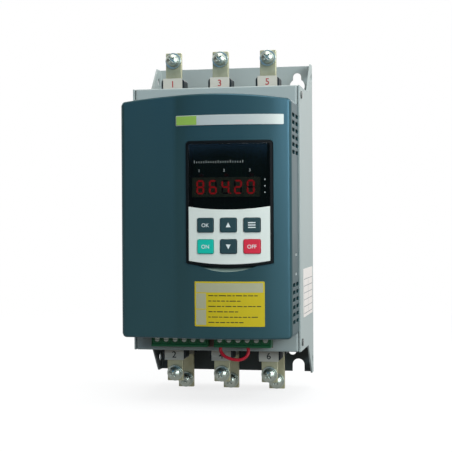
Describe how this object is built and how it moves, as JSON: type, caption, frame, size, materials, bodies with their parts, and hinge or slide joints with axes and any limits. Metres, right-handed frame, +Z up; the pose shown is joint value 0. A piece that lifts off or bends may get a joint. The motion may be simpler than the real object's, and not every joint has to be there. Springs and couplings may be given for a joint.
{
  "type": "soft starter",
  "caption": "Wall-mounted motor soft starter: folded steel chassis, bowed plastic cover with a pull-off keypad display, and copper bar terminals above and below.",
  "frame": {"origin": "centre of the back plate's wall face", "axes": "+X to the right seen from the front, +Y into the wall, +Z up"},
  "size_m": [0.147, 0.1472, 0.2996],
  "materials": {
    "chassis_paint": "light grey powder coat",
    "cover_slate": "fine satin grain",
    "trim_silver": "satin foil",
    "badge_green": "printed field",
    "label_yellow": "printed film",
    "label_white": "plain film",
    "operator_black": "satin",
    "window_smoke": "smoked acrylic",
    "keypad_grey": "satin",
    "key_dark": "satin",
    "key_green": "satin",
    "key_red": "satin",
    "board_green": "solder mask",
    "board_brown": "bare laminate",
    "display_grey": "filled resin",
    "part_black": "moulded",
    "segment_red": "lit diffuser",
    "support_white": "moulded nylon",
    "terminal_green": "moulded",
    "zinc": "zinc plated",
    "wire_red": "insulation",
    "relay_blue": "moulded",
    "transformer_iron": "varnished laminations",
    "sink_aluminium": "extruded",
    "module_black": "moulded",
    "bar_tinned": "tin plated",
    "core_blue": "moulded",
    "insulator_black": "moulded",
    "tag_cream": "plate"
  },
  "bodies": {
    "root": {"back_chassis": "chassis_paint", "front_plate": "chassis_paint", "front_cover": "cover_slate", "trim_strip": "trim_silver", "trim_badge": "badge_green", "info_label": "label_yellow", "side_label": "label_white", "control_board": "board_brown", "operator_socket": "part_black", "pulse_transformers": "part_black", "board_supports": "support_white", "control_terminal_left": "terminal_green", "control_terminal_right": "terminal_green", "chassis_screws": "zinc", "control_terminal_screws": "zinc", "heatsink_posts": "zinc", "heatsink_screws": "zinc", "module_screws": "zinc", "bar_screws": "zinc", "terminal_screws": "zinc", "terminal_washers": "zinc", "terminal_nuts": "zinc", "jumper_wire": "wire_red", "relays": "relay_blue", "supply_transformer": "transformer_iron", "heatsink": "sink_aluminium", "thyristor_module_1": "module_black", "thyristor_module_2": "module_black", "thyristor_module_3": "module_black", "line_bar_1": "bar_tinned", "line_bar_2": "bar_tinned", "line_bar_3": "bar_tinned", "load_bar_1": "bar_tinned", "load_bar_2": "bar_tinned", "load_bar_3": "bar_tinned", "bypass_bar_1": "bar_tinned", "bypass_bar_2": "bar_tinned", "bypass_bar_3": "bar_tinned", "current_transformer_1": "core_blue", "current_transformer_2": "core_blue", "current_transformer_3": "core_blue", "line_insulator": "insulator_black", "load_insulator": "insulator_black", "bypass_insulators": "insulator_black", "terminal_labels": "tag_cream"},
    "operator": {"operator_housing": "operator_black", "operator_window": "window_smoke", "operator_bezel": "keypad_grey", "operator_board": "board_green", "key_switches": "part_black", "led_display": "display_grey", "display_segments": "segment_red", "status_lamps": "segment_red", "operator_plug": "part_black"},
    "key_set": {"key_set": "key_dark"},
    "key_up": {"key_up": "key_dark"},
    "key_menu": {"key_menu": "key_dark"},
    "key_run": {"key_run": "key_green"},
    "key_down": {"key_down": "key_dark"},
    "key_stop": {"key_stop": "key_red"}
  },
  "joints": [
    {"name": "operator_pull", "type": "slide", "parent": "root", "child": "operator", "axis": [0, -1, 0], "range_m": [0, 0.025]},
    {"name": "key_set_press", "type": "slide", "parent": "operator", "child": "key_set", "axis": [0, 1, 0], "range_m": [0, 0.0008], "stiffness_N_per_m": 1500, "springref_m": -0.0003},
    {"name": "key_up_press", "type": "slide", "parent": "operator", "child": "key_up", "axis": [0, 1, 0], "range_m": [0, 0.0008], "stiffness_N_per_m": 1500, "springref_m": -0.0003},
    {"name": "key_menu_press", "type": "slide", "parent": "operator", "child": "key_menu", "axis": [0, 1, 0], "range_m": [0, 0.0008], "stiffness_N_per_m": 1500, "springref_m": -0.0003},
    {"name": "key_run_press", "type": "slide", "parent": "operator", "child": "key_run", "axis": [0, 1, 0], "range_m": [0, 0.0008], "stiffness_N_per_m": 1500, "springref_m": -0.0003},
    {"name": "key_down_press", "type": "slide", "parent": "operator", "child": "key_down", "axis": [0, 1, 0], "range_m": [0, 0.0008], "stiffness_N_per_m": 1500, "springref_m": -0.0003},
    {"name": "key_stop_press", "type": "slide", "parent": "operator", "child": "key_stop", "axis": [0, 1, 0], "range_m": [0, 0.0008], "stiffness_N_per_m": 1500, "springref_m": -0.0003}
  ]
}
